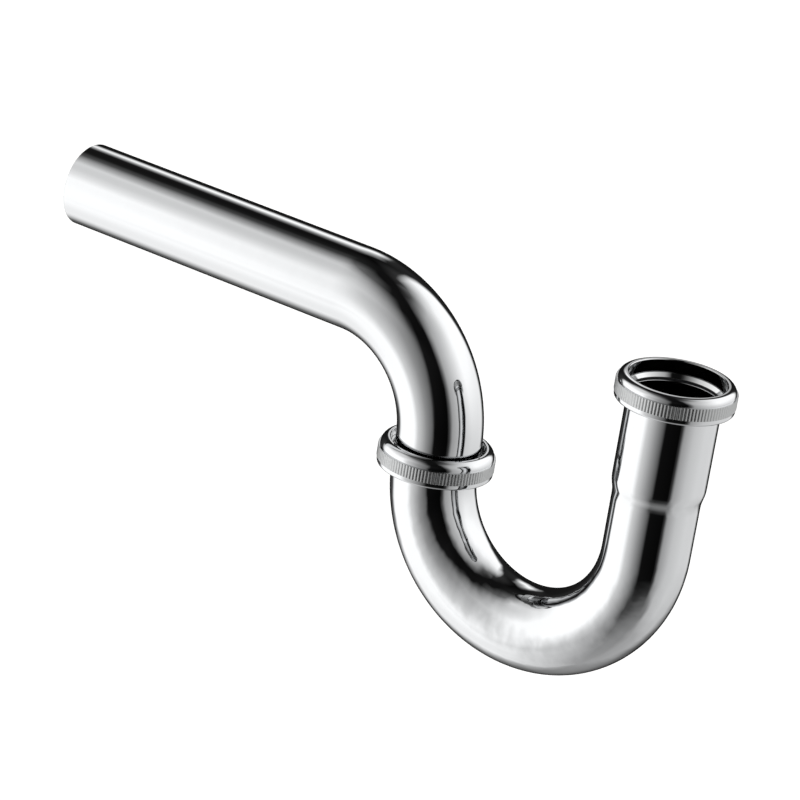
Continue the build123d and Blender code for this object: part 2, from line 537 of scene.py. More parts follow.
@dataclass(frozen=True)
class KnurledChrome:
    """Chromium plate on a turned brass nut, buffed on the dome and satin in the knurl.

    Attributes:
        name: The material's name.
        plate: Colour of the chromium.
        knurl_plate: Colour of the thinner, duller plate in the knurl.
        roughness: Roughness of the buffed dome.
        knurl_roughness: Roughness between the teeth, where no buff reaches.
        knurl_spread: Least and most of that, as shares of it.
        grain: Size of the plate's grain in the knurl, in millimetres, drawn coarse enough to show.
        grain_height: Height of that grain, in millimetres.
        band_span: Radii between which the dome gives way to the knurl, in millimetres.
    """

    name: str = "chromium_plate_knurled"
    plate: str = "#C7C8C9"
    knurl_plate: str = "#ACADAD"
    roughness: float = 0.05
    knurl_roughness: float = 0.34
    knurl_spread: tuple[float, float] = (0.8, 1.3)
    grain: float = 0.5
    grain_height: float = 0.05
    band_span: tuple[float, float] = (21.68, 21.72)

    def material(self) -> Material:
        """Make the plate: mirror bright on the dome, grey and satin across the toothed band.

        Returns:
            The material.
        """
        made, add, shader = new_material(self.name)
        place = add("ShaderNodeTexCoord").outputs["Object"]
        band = add(
            "ShaderNodeMapRange",
            {
                "Value": add("ShaderNodeAttribute", attribute_name="from_axis_mm").outputs["Fac"],
                "From Min": self.band_span[0],
                "From Max": self.band_span[1],
            },
        )
        grain = add("ShaderNodeTexNoise", {"Vector": place, "Scale": 1 / (self.grain * MM), "Detail": 3.0})
        satin = add(
            "ShaderNodeMapRange",
            {
                "Value": grain,
                "From Min": NOISE_LOW,
                "From Max": NOISE_HIGH,
                "To Min": self.knurl_roughness * self.knurl_spread[0],
                "To Max": self.knurl_roughness * self.knurl_spread[1],
            },
        )
        roughness = add("ShaderNodeMix", {"Factor": band, "A": self.roughness, "B": satin})
        grain_height = self.grain_height * MM
        bump = add("ShaderNodeBump", {"Height": grain, "Distance": grain_height, "Strength": band})
        colours = {"Factor": band, "A": linear(self.plate), "B": linear(self.knurl_plate)}
        colour = add("ShaderNodeMix", colours, data_type="RGBA")
        feed(shader, {"Base Color": colour, "Roughness": roughness, "Normal": bump, "Metallic": 1.0})
        return made


@dataclass(frozen=True)
class TurnedMetal:
    """Metal turned on a lathe, plated or polished afterwards.

    Attributes:
        name: The material's name.
        colour: Colour of the clean metal.
        tarnish: Colour where it has dulled.
        roughness: Roughness of the turned face.
        roughness_spread: Least and most of that, as shares of it.
        feed_pitch: Spacing of the tool's lines, in millimetres, drawn coarse enough to show.
        line_waves: How often a line changes, per millimetre round the piece.
        line_height: Height of the lines, in millimetres.
        patch_size: Width of the dulled patches, in millimetres.
    """

    name: str
    colour: str
    tarnish: str
    roughness: float
    roughness_spread: tuple[float, float] = (0.7, 1.4)
    feed_pitch: float = 0.25
    line_waves: float = 0.03
    line_height: float = 0.01
    patch_size: float = 5.0

    def material(self) -> Material:
        """Make the metal: bright, with the fine round lines that the tool's feed leaves.

        Returns:
            The material.
        """
        made, add, shader = new_material(self.name)
        place = add("ShaderNodeTexCoord").outputs
        waves_per_mm = (self.line_waves, 1 / self.feed_pitch, 1)
        stretched = add("ShaderNodeMapping", {"Vector": place["UV"], "Scale": waves_per_mm})
        lines = add("ShaderNodeTexNoise", {"Vector": stretched, "Scale": 1.0, "Detail": 2.0})
        dulled = {"Vector": place["Object"], "Scale": 1 / (self.patch_size * MM), "Detail": 5.0}
        patches = add("ShaderNodeTexNoise", dulled)
        colours = {"Factor": patches, "A": linear(self.colour), "B": linear(self.tarnish)}
        colour = add("ShaderNodeMix", colours, data_type="RGBA")
        roughness = add(
            "ShaderNodeMapRange",
            {
                "Value": lines,
                "From Min": NOISE_LOW,
                "From Max": NOISE_HIGH,
                "To Min": self.roughness * self.roughness_spread[0],
                "To Max": self.roughness * self.roughness_spread[1],
            },
        )
        bump = add("ShaderNodeBump", {"Height": lines, "Distance": self.line_height * MM, "Strength": 0.6})
        feed(shader, {"Base Color": colour, "Roughness": roughness, "Normal": bump, "Metallic": 1.0})
        return made


@dataclass(frozen=True)
class MouldedRubber:
    """Black EPDM rubber, compression moulded, matt with a bloom of dust.

    Attributes:
        name: The material's name.
        colour: Colour of the clean rubber.
        bloom: Colour where dust has settled.
        roughness: Roughness of the moulded face.
        grain: Size of the mould's grain, in millimetres, drawn coarse enough to show.
        grain_height: Height of that grain, in millimetres.
        bloom_size: Width of the dusty patches, in millimetres.
    """

    name: str = "epdm_rubber_moulded"
    colour: str = "#17181A"
    bloom: str = "#2C2D2F"
    roughness: float = 0.62
    grain: float = 0.3
    grain_height: float = 0.02
    bloom_size: float = 6.0

    def material(self) -> Material:
        """Make the rubber: dark and soft, with the fine grain of the mould and a pale bloom.

        Returns:
            The material.
        """
        made, add, shader = new_material(self.name)
        place = add("ShaderNodeTexCoord").outputs["Object"]
        grain = add("ShaderNodeTexNoise", {"Vector": place, "Scale": 1 / (self.grain * MM), "Detail": 3.0})
        bloom_scale = 1 / (self.bloom_size * MM)
        bloom = add("ShaderNodeTexNoise", {"Vector": place, "Scale": bloom_scale, "Detail": 4.0})
        colours = {"Factor": bloom, "A": linear(self.colour), "B": linear(self.bloom)}
        colour = add("ShaderNodeMix", colours, data_type="RGBA")
        bump = add("ShaderNodeBump", {"Height": grain, "Distance": self.grain_height * MM, "Strength": 0.7})
        feed(shader, {"Base Color": colour, "Roughness": self.roughness, "Normal": bump})
        return made


@dataclass(frozen=True)
class LitFloor:
    """White acrylic table, opal and lit from below, which leaves next to no shadow.

    Attributes:
        name: The material's name.
        colour: Colour of the acrylic and of its glow.
        roughness: Roughness of its matt face.
        glow: Strength of the light from below.
    """

    name: str = "opal_acrylic_lit"
    colour: str = "#F6F6F5"
    roughness: float = 0.7
    glow: float = 0.62

    def material(self) -> Material:
        """Make the table: an even, shadowless white.

        Returns:
            The material.
        """
        made, _, shader = new_material(self.name)
        white = linear(self.colour)
        feed(shader, {"Base Color": white, "Emission Color": white})
        feed(shader, {"Roughness": self.roughness, "Emission Strength": self.glow})
        return made


# Plate over plain turning is a soft grey with fine rings, seen when a nut is off its collar.
PLATED_COLLAR = TurnedMetal("chromium_plate_on_turned_brass", "#C2C3C4", "#A9A9A8", 0.18)
# Polished stainless shows as one bright band where the inlet's cone catches the light.
BRIGHT_RING = TurnedMetal("stainless_ring_polished", "#CACBCB", "#BFC0C0", 0.045)


@dataclass(frozen=True)
class Finishes:
    """Every finish on the object, made once and shared.

    Attributes:
        plate: The tubes' chromium.
        knurled: The nuts' chromium.
        collar: The plated collars and flange.
        ring: The polished friction rings.
        rubber: The washer and the gasket.
    """

    plate: Material
    knurled: Material
    collar: Material
    ring: Material
    rubber: Material

    @classmethod
    def make(cls) -> "Finishes":
        """Make all the materials."""
        return cls(
            plate=ChromePlate().material(),
            knurled=KnurledChrome().material(),
            collar=PLATED_COLLAR.material(),
            ring=BRIGHT_RING.material(),
            rubber=MouldedRubber().material(),
        )


# ---------------------------------------------------------------- knurl and thread


@dataclass(frozen=True)
class GrooveTree:
    """A Geometry Nodes tree that cuts grooves in a turned piece, with what it reads of each point.

    Attributes:
        tree: The tree.
        add: What adds a node to it.
        given: The tree's inputs.
        radius: The point's distance from the axis.
        outwards: Its direction from the axis.
        turns: Its place round the axis, in turns.
        height: Its height.
    """

    tree: NodeTree
    add: AddNode
    given: bpy.types.bpy_prop_collection
    radius: Node
    outwards: Node
    turns: Node
    height: NodeSocket

    @classmethod
    def start(cls, name: str, inputs: dict[str, str]) -> "GrooveTree":
        """Start a tree and read each point's place.

        Args:
            name: The tree's name.
            inputs: Socket types by name, besides the geometry, the axis and the finish.

        Returns:
            The tree so far.
        """
        tree = bpy.data.node_groups.new(name, "GeometryNodeTree")
        tree.interface.new_socket("Geometry", in_out="OUTPUT", socket_type="NodeSocketGeometry")
        tree.interface.new_socket("Geometry", in_out="INPUT", socket_type="NodeSocketGeometry")
        shared = {"Axis X": "NodeSocketFloat", "Finish": "NodeSocketMaterial"}
        for label, kind in {**shared, **inputs}.items():
            tree.interface.new_socket(label, in_out="INPUT", socket_type=kind)
        add = partial(add_node, tree)
        given = add("NodeGroupInput").outputs
        place = add("GeometryNodeInputPosition")
        axis = add("ShaderNodeCombineXYZ", {"X": given["Axis X"]})
        from_axis = add("ShaderNodeVectorMath", {0: place, 1: axis}, operation="SUBTRACT")
        flat = add("ShaderNodeVectorMath", {0: from_axis, 1: (1, 1, 0)}, operation="MULTIPLY")
        parts = add("ShaderNodeSeparateXYZ", {0: from_axis}).outputs
        angle = add("ShaderNodeMath", {0: parts["Y"], 1: parts["X"]}, operation="ARCTAN2")
        return cls(
            tree,
            add,
            given,
            radius=add("ShaderNodeVectorMath", {0: flat}, operation="LENGTH"),
            outwards=add("ShaderNodeVectorMath", {0: flat}, operation="NORMALIZE"),
            turns=add("ShaderNodeMath", {0: angle, 1: math.tau}, operation="DIVIDE"),
            height=parts["Z"],
        )

    def groove(self, phase: Node, flank: tuple[float, float]) -> Node:
        """Add the profile that repeats.

        Args:
            phase: What grows by 1 from one crest to the next.
            flank: Where the flank starts and ends, as shares of the way from crest to floor.

        Returns:
            The node that gives 0 on a crest and 1 on a groove's floor.
        """
        doubled = self.add("ShaderNodeMath", {0: phase, 1: 2.0}, operation="MULTIPLY")
        wave = self.add("ShaderNodeMath", {0: doubled, 1: 1.0}, operation="PINGPONG")
        return self.add("ShaderNodeMapRange", {"Value": wave, "From Min": flank[0], "From Max": flank[1]})

    def finish(self, change: Node) -> NodeTree:
        """Move the points, make the mesh real and give it its material.

        Args:
            change: How far each point goes outwards.

        Returns:
            The whole tree.
        """
        offset = self.add("ShaderNodeVectorMath", {0: self.outwards, "Scale": change}, operation="SCALE")
        cut = self.add("GeometryNodeSetPosition", {"Geometry": self.given["Geometry"], "Offset": offset})
        real = self.add("GeometryNodeRealizeInstances", {"Geometry": cut})
        finished = self.add("GeometryNodeSetMaterial", {"Geometry": real, "Material": self.given["Finish"]})
        self.add("NodeGroupOutput", {"Geometry": finished})
        return self.tree


# Where a groove's flank starts and ends, as shares of the way from its crest to its floor.
KNURL_FLANK = (0.3, 0.85)
THREAD_FLANK = (0.15, 0.9)


def knurl_tree() -> NodeTree:
    """Build the tree that cuts straight teeth round a band.

    Every point outside the groove's floor is drawn in to it, so the teeth run out by themselves
    on a bevel or a step. The depth wanders a little around the band, as a worn knurling wheel's does.

    Returns:
        The tree.
    """
    sizes = dict.fromkeys(("Band Radius", "Tooth Depth", "Unevenness", "Seed"), "NodeSocketFloat")
    band = GrooveTree.start("cut_knurl", {**sizes, "Teeth": "NodeSocketInt"})
    add, given = band.add, band.given
    teeth = add("ShaderNodeMath", {0: band.turns, 1: given["Teeth"]}, operation="MULTIPLY")
    groove = band.groove(teeth, KNURL_FLANK)
    wander = add(
        "ShaderNodeTexNoise",
        {"Vector": band.outwards, "W": given["Seed"], "Scale": 3.0, "Detail": 2.0},
        noise_dimensions="4D",
    )
    raised = add("ShaderNodeMath", {0: wander, 1: given["Unevenness"], 2: 1.0}, operation="MULTIPLY_ADD")
    uneven = add("ShaderNodeMath", {0: given["Unevenness"], 1: -0.5, 2: raised}, operation="MULTIPLY_ADD")
    depth = add("ShaderNodeMath", {0: given["Tooth Depth"], 1: uneven}, operation="MULTIPLY")
    cut = add("ShaderNodeMath", {0: groove, 1: depth}, operation="MULTIPLY")
    floor = add("ShaderNodeMath", {0: given["Band Radius"], 1: cut}, operation="SUBTRACT")
    kept = add("ShaderNodeMath", {0: band.radius, 1: floor}, operation="MINIMUM")
    return band.finish(add("ShaderNodeMath", {0: kept, 1: band.radius}, operation="SUBTRACT"))


def thread_tree() -> NodeTree:
    """Build the tree that cuts a screw thread into a cylinder, from its crests.

    The groove's floor follows the turn and the height, so the thread is one true helix. It fades
    out at the foot and the top, as a thread does at its lead-in and its relief.

    Returns:
        The tree.
    """
    labels = ("Crest Radius", "Thread Depth", "Pitch", "Foot", "Top", "Run Out", "Side")
    screw = GrooveTree.start("cut_thread", dict.fromkeys(labels, "NodeSocketFloat"))
    add, given, height = screw.add, screw.given, screw.height
    foot, top, run_out = given["Foot"], given["Top"], given["Run Out"]
    climb = add("ShaderNodeMath", {0: height, 1: given["Pitch"]}, operation="DIVIDE")
    phase = add("ShaderNodeMath", {0: climb, 1: screw.turns}, operation="SUBTRACT")
    groove = screw.groove(phase, THREAD_FLANK)
    lead_end = add("ShaderNodeMath", {0: foot, 1: run_out}, operation="ADD")
    relief_start = add("ShaderNodeMath", {0: top, 1: run_out}, operation="SUBTRACT")
    lead = add("ShaderNodeMapRange", {"Value": height, "From Min": foot, "From Max": lead_end})
    relief = add("ShaderNodeMapRange", {"Value": height, "From Min": top, "From Max": relief_start})
    fade = add("ShaderNodeMath", {0: lead, 1: relief}, operation="MULTIPLY")
    depth = add("ShaderNodeMath", {0: given["Thread Depth"], 1: fade}, operation="MULTIPLY")
    cut = add("ShaderNodeMath", {0: groove, 1: depth}, operation="MULTIPLY")
    beyond = add("ShaderNodeMath", {0: given["Crest Radius"], 1: screw.radius}, operation="SUBTRACT")
    short_of_crest = add("ShaderNodeMath", {0: beyond}, operation="ABSOLUTE")
    left = add("ShaderNodeMath", {0: cut, 1: short_of_crest}, operation="SUBTRACT")
    moved = add("ShaderNodeMath", {0: left, 1: 0.0}, operation="MAXIMUM")
    return screw.finish(add("ShaderNodeMath", {0: moved, 1: given["Side"]}, operation="MULTIPLY"))


@dataclass(frozen=True)
class Workshop:
    """What every sub-assembly is made with.

    Attributes:
        finishes: The object's materials.
        knurling: The tree that cuts a knurl.
        threading: The tree that cuts a thread.
    """

    finishes: Finishes
    knurling: NodeTree
    threading: NodeTree


@dataclass(frozen=True)
class Thread:
    """The waste thread that collars and nuts share, in millimetres.

    Attributes:
        pitch: Rise in one turn.
        depth: Groove depth from the crests.
        run_out: Height over which the groove fades at each end.
        row_step: Gap between the rows of faces that carry the groove.
    """

    pitch: float = 1.5
    depth: float = 0.75
    run_out: float = 0.25
    row_step: float = 0.16

    def cut(
        self,
        piece: Object,
        tree: NodeTree,
        axis_x: float,
        crest: float,
        span: tuple[float, float],
        side: ThreadSide,
        finish: Material,
    ) -> None:
        """Cut the thread into a piece.

        Args:
            piece: The object that gets the thread.
            tree: The tree from thread_tree.
            axis_x: Where the screw's axis stands.
            crest: Radius of the crests.
            span: Height of the thread's foot and of its top.
            side: External or internal.
            finish: The piece's material.
        """
        values = {
            "Axis X": axis_x * MM,
            "Crest Radius": crest * MM,
            "Thread Depth": self.depth * MM,
            "Pitch": self.pitch * MM,
            "Foot": span[0] * MM,
            "Top": span[1] * MM,
            "Run Out": self.run_out * MM,
            "Side": side.value,
            "Finish": finish,
        }
        apply_tree(piece, tree, values)


# ---------------------------------------------------------------- sub-assemblies


@dataclass
class RingPiece:
    """A small turned or moulded ring: seal, friction ring or flange.

    Attributes:
        node: The CAD node that it stands for, and its own name.
        bore: Radius of its hole at the foot.
        top_bore: Radius of its hole at the top, the same unless the hole is a cone.
        fillet: Radius of its edges.
        bevel: Width of the bevel on its top outer edge, 0 for none.
        columns: Faces around it.
    """

    node: str
    bore: float
    top_bore: float
    fillet: float = 0.15
    bevel: float = 0.0
    columns: int = 192

    def build(self) -> Object:
        """Build the ring where the CAD has it.

        Returns:
            The ring's object.
        """
        low, high = box_mm(self.node)
        outside, top = high.y, high.z
        rim = [(outside, top - self.bevel), (outside - self.bevel, top)] if self.bevel else [(outside, top)]
        places = [(self.bore, low.z), (outside, low.z), *rim, (self.top_bore, top)]
        corners = [Corner(radius, height, self.fillet) for radius, height in places]
        path = Path((low.x + high.x) / 2, 0.0)
        return new_piece(self.node, swept_mesh(self.node, corners, path, self.columns))


@dataclass(frozen=True)
class TubeStock:
    """The thin tube that both bends are made from, in millimetres.

    Attributes:
        wall: Its thickness.
        rim_fillet: Radius of its filed ends.
        columns: Faces around it.
        step: Gap between its rows of faces outside. Inside it is twice as much.
    """

    wall: float = 0.8
    rim_fillet: float = 0.25
    columns: int = 168
    step: float = 1.4


@dataclass
class TrapBody:
    """The J-shaped bend that holds the water seal, with its collars and seals.

    Attributes:
        stock: The tube that it is bent from.
        socket_depth: Depth of the swaged socket that takes the tailpiece.
        swage_length: Height of the slope between tube and socket.
        swage_fillet: Radius that the swaging tool leaves.
        collar_chamfer: Width of the chamfer at the top of a collar.
        collar_fillet: Radius of a collar's edges. The chamfer's are half as large.
        collar_columns: Faces around a collar.
        washer_bevel: Width of the bevel that centres the washer under its ring.
        gasket_step: How far the gasket lies back from the tube's bore.
        thread: The thread on both collars.
    """

    stock: TubeStock = TubeStock()
    socket_depth: float = 33.5
    swage_length: float = 4.0
    swage_fillet: float = 15.0
    collar_chamfer: float = 0.3
    collar_fillet: float = 0.1
    collar_columns: int = 216
    washer_bevel: float = 0.3
    gasket_step: float = 0.3
    thread: Thread = Thread()

    def build_bend(self) -> Object:
        """Build the bent tube with its swaged socket.

        Returns:
            The tube's object.
        """
        low, high = box_mm("trap_bend")
        tube = box_mm("wall_tube")[1].y
        outlet_rim = box_mm("outlet_thread_collar")[1].z
        socket = high.y
        outlet_x = low.x + tube
        turn_radius = -outlet_x / 2
        turn_top = low.z + tube + turn_radius
        half_turn = Leg(math.pi * turn_radius, turn_radius)
        legs = (Leg(outlet_rim - turn_top), half_turn, Leg(high.z - turn_top))
        rim = sum(leg.length for leg in legs)
        swage_top = rim - self.socket_depth
        swage_foot = swage_top - self.swage_length
        stock, swage = self.stock, self.swage_fillet
        bore, socket_bore = tube - stock.wall, socket - stock.wall
        corners = [
            Corner(tube, 0.0, stock.rim_fillet, stock.step),
            Corner(tube, swage_foot, swage),
            Corner(socket, swage_top, swage),
            Corner(socket, rim, stock.rim_fillet),
            Corner(socket_bore, rim, stock.rim_fillet),
            Corner(socket_bore, swage_top, swage),
            Corner(bore, swage_foot, swage, stock.step * 2),
            Corner(bore, 0.0, stock.rim_fillet),
        ]
        path = Path(outlet_x, outlet_rim, -90.0, legs)
        return new_piece("trap_bend", swept_mesh("trap_bend", corners, path, stock.columns))

    def build_collar(self, node: str, bore: float, workshop: Workshop) -> Object:
        """Build a threaded collar.

        Args:
            node: The CAD node that it stands for.
            bore: Radius of the tube that it is brazed to.
            workshop: What it is made with.

        Returns:
            The collar's object.
        """
        low, high = box_mm(node)
        crest, axis_x = high.y, (low.x + high.x) / 2
        fillet, chamfer = self.collar_fillet, self.collar_chamfer
        corners = [
            Corner(bore, low.z, fillet),
            Corner(crest, low.z, fillet, self.thread.row_step),
            Corner(crest, high.z - chamfer, fillet / 2),
            Corner(crest - chamfer, high.z, fillet / 2),
            Corner(bore, high.z, fillet),
        ]
        mesh = swept_mesh(node, corners, Path(axis_x, 0.0), self.collar_columns)
        collar, finish = new_piece(node, mesh), workshop.finishes.collar
        side = ThreadSide.EXTERNAL
        self.thread.cut(collar, workshop.threading, axis_x, crest, (low.z, high.z), side, finish)
        return collar

    def build(self, workshop: Workshop) -> None:
        """Build and dress the bend, its collars and its seals.

        Args:
            workshop: What they are made with.
        """
        finishes = workshop.finishes
        dress(self.build_bend(), finishes.plate, Body.TRAP, "trap_bend")
        tube = box_mm("wall_tube")[1].y
        socket = box_mm("trap_bend")[1].y
        for node, bore in (("inlet_thread_collar", socket), ("outlet_thread_collar", tube)):
            collar = self.build_collar(node, bore, workshop)
            dress(collar, finishes.collar, Body.TRAP, node)
        washer_bore = socket - self.stock.wall
        washer = RingPiece("inlet_washer", washer_bore, washer_bore, 0.12, self.washer_bevel)
        gasket_bore = tube - self.stock.wall + self.gasket_step
        gasket = RingPiece("outlet_gasket", gasket_bore, gasket_bore, 0.2)
        for seal in (washer, gasket):
            dress(seal.build(), finishes.rubber, Body.TRAP, seal.node)


@dataclass
class WallArm:
    """The tube that rises from the outlet joint and turns to the wall, with its brazed flange.

    Attributes:
        stock: The tube that it is bent from.
        bend_radius: Centreline radius of the quarter turn.
    """

    stock: TubeStock = TubeStock()
    bend_radius: float = 45.5

    def build(self, workshop: Workshop) -> None:
        """Build and dress the tube and its flange.

        Args:
            workshop: What they are made with.
        """
        finishes = workshop.finishes
        low, high = box_mm("wall_tube")
        tube = high.y
        outlet_x = high.x - tube
        bend_foot = high.z - tube - self.bend_radius
        quarter_turn = Leg(math.pi / 2 * self.bend_radius, self.bend_radius)
        legs = (Leg(bend_foot - low.z), quarter_turn, Leg(outlet_x - self.bend_radius - low.x))
        end = sum(leg.length for leg in legs)
        stock, bore = self.stock, tube - self.stock.wall
        corners = [
            Corner(tube, 0.0, stock.rim_fillet, stock.step),
            Corner(tube, end, stock.rim_fillet),
            Corner(bore, end, stock.rim_fillet, stock.step * 2),
            Corner(bore, 0.0, stock.rim_fillet),
        ]
        path = Path(outlet_x, low.z, 90.0, legs)
        arm = new_piece("wall_tube", swept_mesh("wall_tube", corners, path, stock.columns))
        dress(arm, finishes.plate, Body.WALL_ARM, "wall_tube")
        flange = RingPiece("wall_tube_flange", tube, tube)
        dress(flange.build(), finishes.collar, Body.WALL_ARM, flange.node)


@dataclass
class SlipJoint:
    """A knurled slip nut and the friction ring that it presses down.

    Attributes:
        nut: The nut's CAD node.
        ring: The friction ring.
        nut_body: The body that the nut turns with.
        ring_body: The body that lifts with the nut.
        roof: Thickness of the roof.
        seed: Seed of the knurl's unevenness.
        crest_radius: Radius of the nut's bore over its thread.
        hole_radius: Radius of the hole in the nut's roof.
        lip_width: Width of the flat ring round the hole.
        dome_step: How far the dome's foot lies in from the knurl.
        dome_bulge: How far the dome swells past the straight line between its edges.
        dome_chords: Rows of faces on the dome.
        foot_height: Height of the plain band under the knurl.
        foot_step: How far that band lies in from the knurl.
        foot_round: Radius of its lower edge.
        foot_chords: Rows of faces on that edge.
        mouth_chamfer: Width of the chamfer at the mouth of the bore.
        knurl_height: Height of the knurled band.
        knurl_step: Gap between the band's rows of faces.
        teeth: Teeth in the knurl.
        tooth_columns: Faces across one tooth and its groove.
        tooth_depth: Depth of the knurl's grooves.
        unevenness: How much that depth wanders, as a share of it.
        thread_relief: Plain height over the thread, where the tool runs out.
        thread: The nut's thread.
    """

    nut: str
    ring: RingPiece
    nut_body: Body
    ring_body: Body
    roof: float
    seed: float
    crest_radius: float = 20.15
    hole_radius: float = 17.7
    lip_width: float = 1.0
    dome_step: float = 0.7
    dome_bulge: float = 0.8
    dome_chords: int = 14
    foot_height: float = 2.1
    foot_step: float = 0.25
    foot_round: float = 0.9
    foot_chords: int = 7
    mouth_chamfer: float = 0.4
    knurl_height: float = 4.7
    knurl_step: float = 0.8
    teeth: int = 110
    tooth_columns: int = 6
    tooth_depth: float = 0.13
    unevenness: float = 0.9
    thread_relief: float = 0.9
    thread: Thread = Thread()

    def outline(self, foot: float, top: float, outside: float) -> list[Corner]:
        """Lay out the nut's wall.

        Args:
            foot: Height of the nut's foot.
            top: Height of its lip.
            outside: Radius over the knurl.

        Returns:
            The wall's corners, from the hole down the dome and up the bore.
        """
        plain = outside - self.foot_step
        band_foot = foot + self.foot_height
        band_top = band_foot + self.knurl_height
        shoulder = top - self.roof
        lip_edge = (self.hole_radius + self.lip_width, top)
        dome_foot = (outside - self.dome_step, band_top)
        width, rise = dome_foot[0] - lip_edge[0], top - band_top
        bulge = self.dome_bulge / math.hypot(width, rise)
        crown = ((dome_foot[0] + lip_edge[0]) / 2 + rise * bulge, (band_top + top) / 2 + width * bulge)
        dome = arc_through(lip_edge, crown, dome_foot, self.dome_chords)
        reach = self.foot_round * (1 - math.sqrt(0.5))
        foot_edge = arc_through(
            (plain, foot + self.foot_round),
            (plain - reach, foot + reach),
            (plain - self.foot_round, foot),
            self.foot_chords,
        )
        return [
            Corner(self.hole_radius, top, 0.4),
            Corner(*lip_edge, 0.12),
            *(Corner(radius, height) for radius, height in dome[1:-1]),
            Corner(*dome_foot, 0.06),
            Corner(outside, band_top, 0.12, self.knurl_step),
            Corner(outside, band_foot, 0.08),
            Corner(plain, band_foot, 0.04),
            *(Corner(radius, height) for radius, height in foot_edge),
            Corner(self.crest_radius + self.mouth_chamfer, foot, 0.06),
            Corner(self.crest_radius, foot + self.mouth_chamfer, 0.1, self.thread.row_step),
            Corner(self.crest_radius, shoulder, 0.15),
            Corner(self.hole_radius, shoulder, 0.15),
        ]

    def build_nut(self, workshop: Workshop) -> Object:
        """Build the nut, then cut its knurl and its thread.

        Args:
            workshop: What it is made with.

        Returns:
            The nut's object.
        """
        finish = workshop.finishes.knurled
        low, high = box_mm(self.nut)
        axis_x, outside = (low.x + high.x) / 2, high.y
        corners = self.outline(low.z, high.z, outside)
        mesh = swept_mesh(self.nut, corners, Path(axis_x, 0.0), self.teeth * self.tooth_columns)
        nut = new_piece(self.nut, mesh)
        values = {
            "Axis X": axis_x * MM,
            "Band Radius": outside * MM,
            "Tooth Depth": self.tooth_depth * MM,
            "Teeth": self.teeth,
            "Unevenness": self.unevenness,
            "Seed": self.seed,
            "Finish": finish,
        }
        apply_tree(nut, workshop.knurling, values)
        span = (low.z + self.mouth_chamfer, high.z - self.roof - self.thread_relief)
        side = ThreadSide.INTERNAL
        self.thread.cut(nut, workshop.threading, axis_x, self.crest_radius, span, side, finish)
        return nut

    def build(self, workshop: Workshop) -> None:
        """Build and dress the nut and its ring.

        Args:
            workshop: What they are made with.
        """
        finishes = workshop.finishes
        dress(self.build_nut(workshop), finishes.knurled, self.nut_body, self.nut)
        dress(self.ring.build(), finishes.ring, self.ring_body, self.ring.node)


# ---------------------------------------------------------------- studio


@dataclass(frozen=True)
class LightRing:
    """One level of the studio's surround.

    Attributes:
        elevation: Its height over the horizon, in degrees.
        stops: Bearing from the camera in degrees, the camera's right positive, and the grey
            that chromium shows there, in order of bearing.
    """

    elevation: float
    stops: tuple[tuple[float, str], ...]

    def ramp(self, add: AddNode, share: Node) -> Node:
        """Add the colour ramp that runs once round the horizon with this level's greys.

        Args:
            add: What adds a node to the surround.
            share: The direction's bearing as a share of the turn, from behind to behind.

        Returns:
            The ramp's node.
        """
        node = add("ShaderNodeValToRGB", {"Fac": share})
        (first_bearing, first_grey), (last_bearing, last_grey) = self.stops[0], self.stops[-1]
        gap = 360 - (last_bearing - first_bearing)
        behind = (180 - last_bearing) / gap
        ends = zip(linear(last_grey), linear(first_grey))
        seam = tuple(last * (1 - behind) + first * behind for last, first in ends)
        elements = node.color_ramp.elements
        elements[0].position, elements[0].color = 0.0, seam
        elements[1].position, elements[1].color = 1.0, seam
        for bearing, grey in self.stops:
            elements.new((bearing + 180) / 360).color = linear(grey)
        return node


